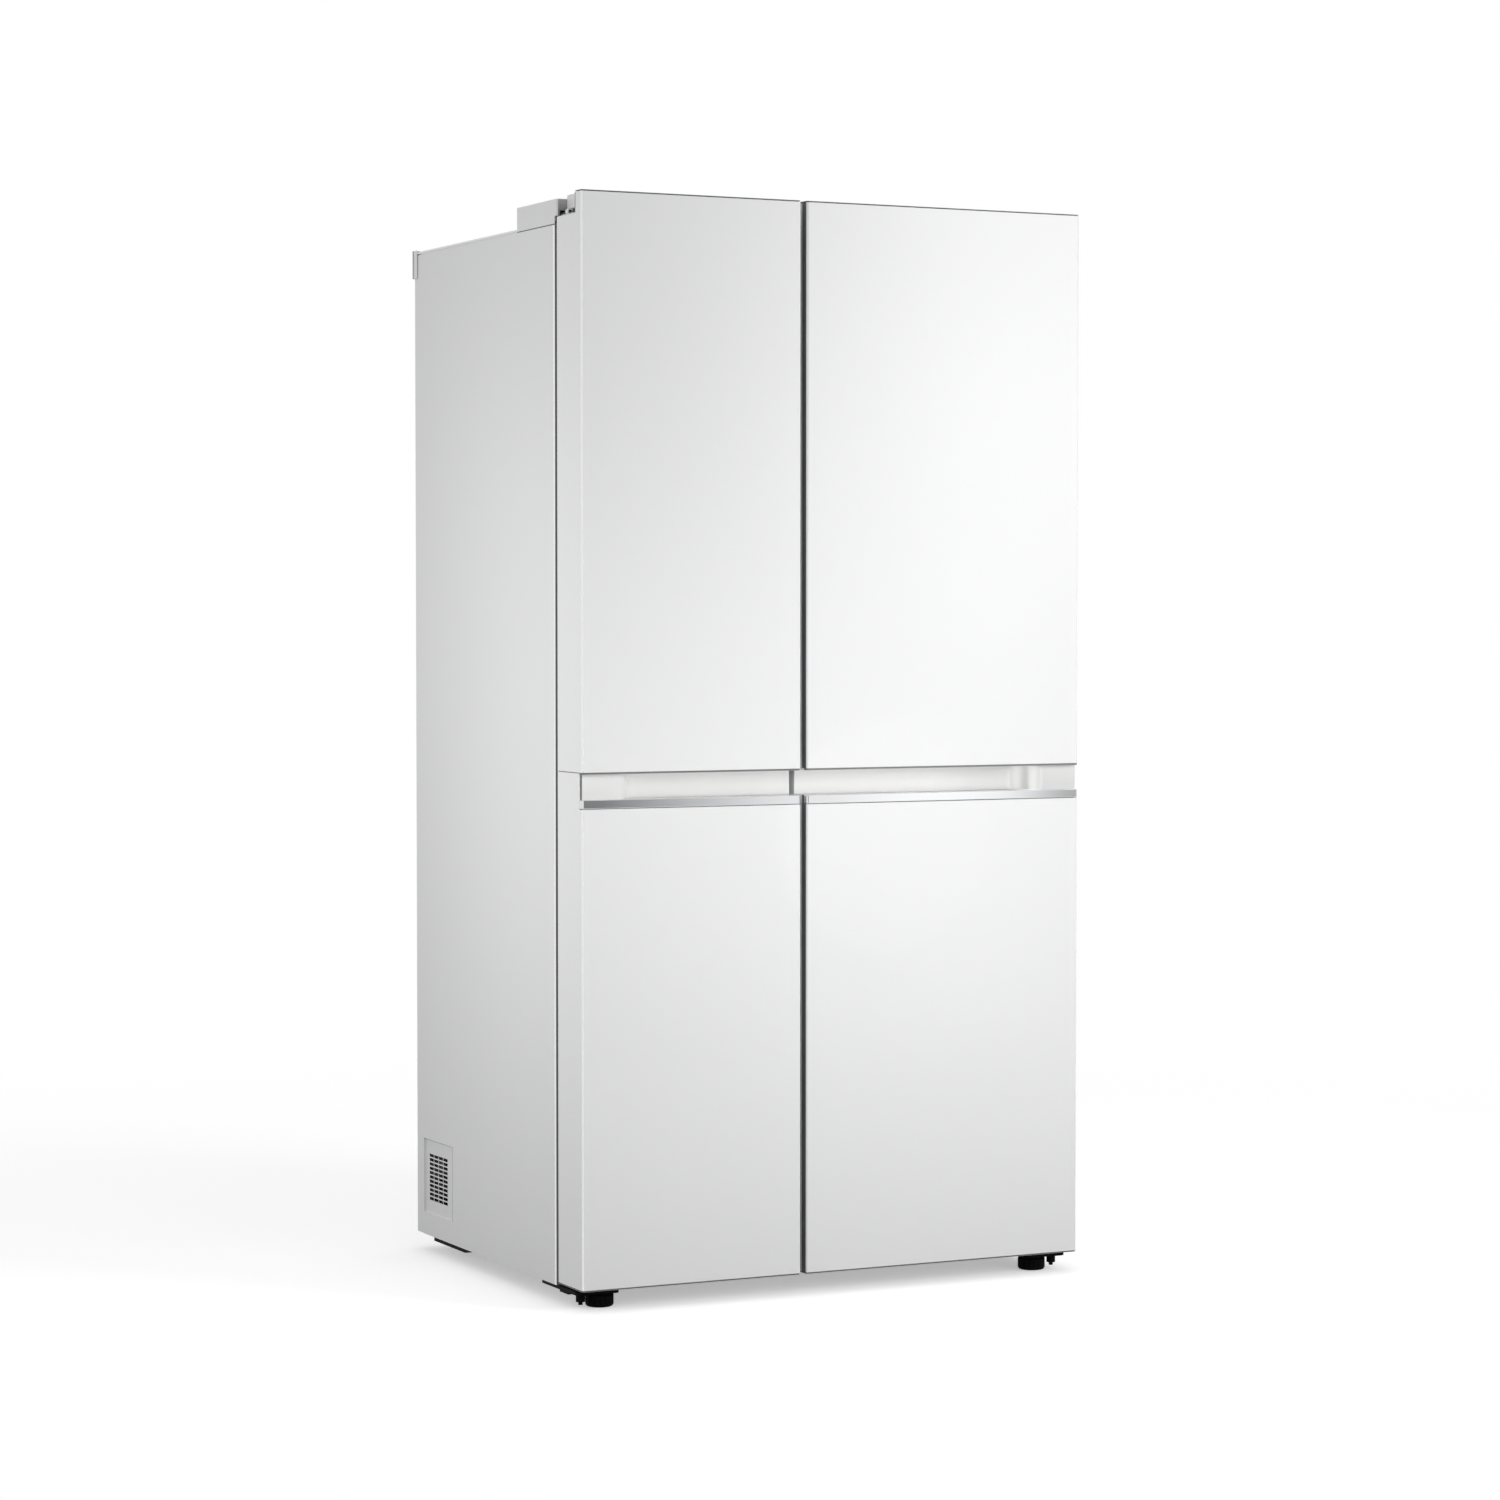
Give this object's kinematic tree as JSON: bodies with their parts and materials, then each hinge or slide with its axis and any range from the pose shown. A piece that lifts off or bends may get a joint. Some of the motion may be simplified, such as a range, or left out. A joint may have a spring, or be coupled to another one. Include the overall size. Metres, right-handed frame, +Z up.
{
  "type": "side by side refrigerator",
  "caption": "White side by side refrigerator with a freezer door, a wider fridge door and full-width grip pockets.",
  "frame": {"origin": "middle of the floor under the part", "axes": "+Z up, doors face -Y, +X to the right seen from the front, so the freezer is at -X"},
  "size_m": [0.913, 0.735, 1.7825],
  "materials": {
    "white_steel": "gloss",
    "white_plastic": "satin",
    "trim_metal": "satin",
    "black_steel": "satin",
    "zinc_steel": "satin",
    "seal": "matte",
    "foam": "matte",
    "clear_plastic": "gloss",
    "shelf_glass": "gloss",
    "black_plastic": "matte",
    "nylon": "matte",
    "lamp_cover": "satin",
    "coil": "satin"
  },
  "bodies": {
    "cabinet": {"back_panel": "zinc_steel", "base_plate": "black_steel", "bottom_hinge_left": "black_steel", "bottom_hinge_right": "black_steel", "cabinet_foam": "foam", "compartment_lamps": "lamp_cover", "compressor": "black_steel", "condenser": "coil", "condenser_fan_frame": "black_plastic", "control_box": "black_plastic", "cord_gland": "black_plastic", "drain_pan": "black_plastic", "evaporator": "coil", "evaporator_cover": "white_plastic", "evaporator_fan_frame": "black_plastic", "fixing_screws": "zinc_steel", "freezer_liner": "white_plastic", "freezer_shelves": "shelf_glass", "fridge_air_duct": "white_plastic", "fridge_liner": "white_plastic", "fridge_shelves": "shelf_glass", "hinge_cover_left": "white_plastic", "hinge_cover_right": "white_plastic", "machine_cover": "zinc_steel", "mullion_cover": "white_steel", "rear_spacers": "white_plastic", "side_panel_left": "white_steel", "side_panel_right": "white_steel", "side_vents": "white_plastic", "top_hinge_left": "zinc_steel", "top_hinge_right": "zinc_steel", "top_panel": "white_steel"},
    "freezer_door": {"freezer_door_bins": "clear_plastic", "freezer_door_end_caps": "white_plastic", "freezer_door_foam": "foam", "freezer_door_gasket": "seal", "freezer_door_grip_pocket": "white_plastic", "freezer_door_grip_trim": "trim_metal", "freezer_door_liner": "white_plastic", "freezer_door_lower_panel": "white_steel", "freezer_door_upper_panel": "white_steel"},
    "fridge_door": {"fridge_door_bins": "clear_plastic", "fridge_door_end_caps": "white_plastic", "fridge_door_foam": "foam", "fridge_door_gasket": "seal", "fridge_door_grip_pocket": "white_plastic", "fridge_door_grip_trim": "trim_metal", "fridge_door_liner": "white_plastic", "fridge_door_lower_panel": "white_steel", "fridge_door_upper_panel": "white_steel"},
    "freezer_lower_drawer": {"freezer_lower_drawer": "clear_plastic"},
    "freezer_upper_drawer": {"freezer_upper_drawer": "clear_plastic"},
    "fridge_lower_drawer": {"fridge_lower_drawer": "clear_plastic"},
    "fridge_upper_drawer": {"fridge_upper_drawer": "clear_plastic"},
    "condenser_fan_blade": {"condenser_fan_blade": "black_plastic"},
    "evaporator_fan_blade": {"evaporator_fan_blade": "black_plastic"},
    "foot_left": {"foot_left": "black_plastic"},
    "foot_right": {"foot_right": "black_plastic"},
    "rear_roller_left": {"rear_roller_left": "nylon"},
    "rear_roller_right": {"rear_roller_right": "nylon"}
  },
  "joints": [
    {"name": "freezer_door_hinge", "type": "hinge", "parent": "cabinet", "child": "freezer_door", "pos_m": [-0.437, -0.3145, 0.9], "axis": [0, 0, -1], "range_deg": [0, 115]},
    {"name": "fridge_door_hinge", "type": "hinge", "parent": "cabinet", "child": "fridge_door", "pos_m": [0.437, -0.3145, 0.9], "axis": [0, 0, 1], "range_deg": [0, 115]},
    {"name": "freezer_lower_drawer_slide", "type": "slide", "parent": "cabinet", "child": "freezer_lower_drawer", "axis": [0, -1, 0], "range_m": [0, 0.04]},
    {"name": "freezer_upper_drawer_slide", "type": "slide", "parent": "cabinet", "child": "freezer_upper_drawer", "axis": [0, -1, 0], "range_m": [0, 0.04]},
    {"name": "fridge_lower_drawer_slide", "type": "slide", "parent": "cabinet", "child": "fridge_lower_drawer", "axis": [0, -1, 0], "range_m": [0, 0.04]},
    {"name": "fridge_upper_drawer_slide", "type": "slide", "parent": "cabinet", "child": "fridge_upper_drawer", "axis": [0, -1, 0], "range_m": [0, 0.04]},
    {"name": "condenser_fan_shaft", "type": "hinge", "parent": "cabinet", "child": "condenser_fan_blade", "pos_m": [-0.0765, 0.2425, 0.14], "axis": [1, 0, 0], "continuous": true},
    {"name": "evaporator_fan_shaft", "type": "hinge", "parent": "cabinet", "child": "evaporator_fan_blade", "pos_m": [-0.248, 0.2075, 0.9], "axis": [0, 1, 0], "continuous": true},
    {"name": "foot_left_thread", "type": "hinge", "parent": "cabinet", "child": "foot_left", "pos_m": [-0.4015, -0.3095, 0.015], "axis": [0, 0, 1], "continuous": true},
    {"name": "foot_right_thread", "type": "hinge", "parent": "cabinet", "child": "foot_right", "pos_m": [0.4015, -0.3095, 0.015], "axis": [0, 0, 1], "continuous": true},
    {"name": "rear_roller_left_axle", "type": "hinge", "parent": "cabinet", "child": "rear_roller_left", "pos_m": [-0.3725, 0.2825, 0.014], "axis": [1, 0, 0], "continuous": true},
    {"name": "rear_roller_right_axle", "type": "hinge", "parent": "cabinet", "child": "rear_roller_right", "pos_m": [0.3725, 0.2825, 0.014], "axis": [1, 0, 0], "continuous": true}
  ]
}
